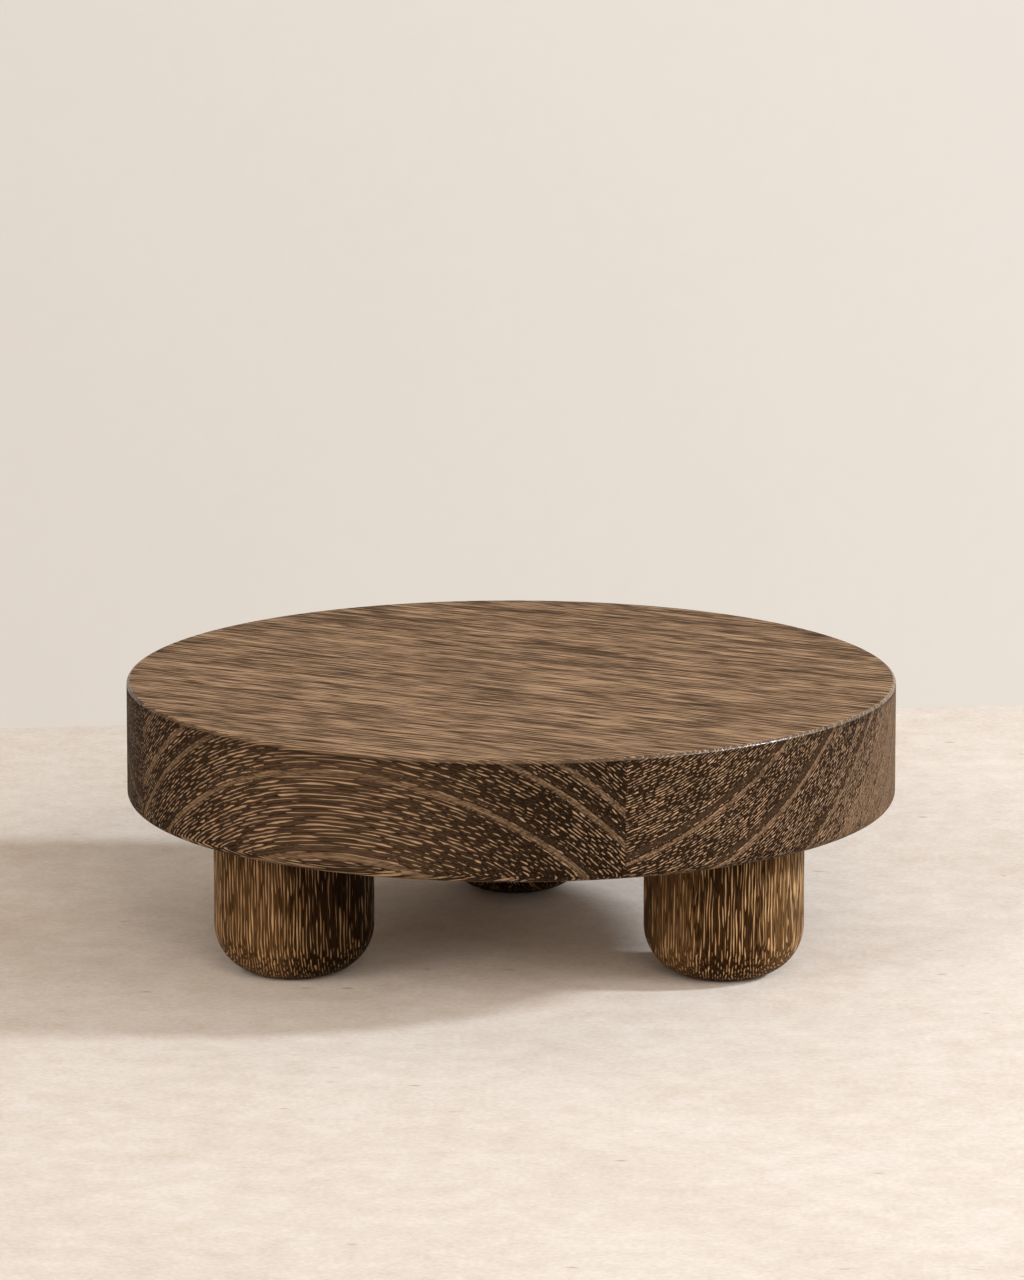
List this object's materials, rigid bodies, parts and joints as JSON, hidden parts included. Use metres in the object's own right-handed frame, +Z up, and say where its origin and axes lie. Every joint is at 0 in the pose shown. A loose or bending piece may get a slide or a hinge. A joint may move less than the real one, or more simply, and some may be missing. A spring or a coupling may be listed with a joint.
{
  "type": "footed riser",
  "caption": "Thick round wooden riser: an edge-glued disc on turned, round-bottomed feet pinned by hidden dowels, which lifts a dish, plant or display off the table.",
  "frame": {"origin": "on the surface that the riser stands on, under the centre of the round top", "axes": "+Z up; one foot stands at the back, on +Y, and two at the front, towards -Y; +X is to the right, seen from the front"},
  "size_m": [0.305, 0.305, 0.108],
  "materials": {
    "top_wood": "dark brown open-grained hardwood, sanded and oiled to a low satin",
    "foot_wood": "the same dark open-grained hardwood, turned and oiled to a low satin",
    "dowel_wood": "pale close-grained hardwood, bare"
  },
  "bodies": {
    "root": {"front_board": "top_wood", "centre_board": "top_wood", "back_board": "top_wood", "foot_back": "foot_wood", "foot_front_left": "foot_wood", "foot_front_right": "foot_wood", "dowel_back": "dowel_wood", "dowel_front_left": "dowel_wood", "dowel_front_right": "dowel_wood"}
  },
  "joints": []
}
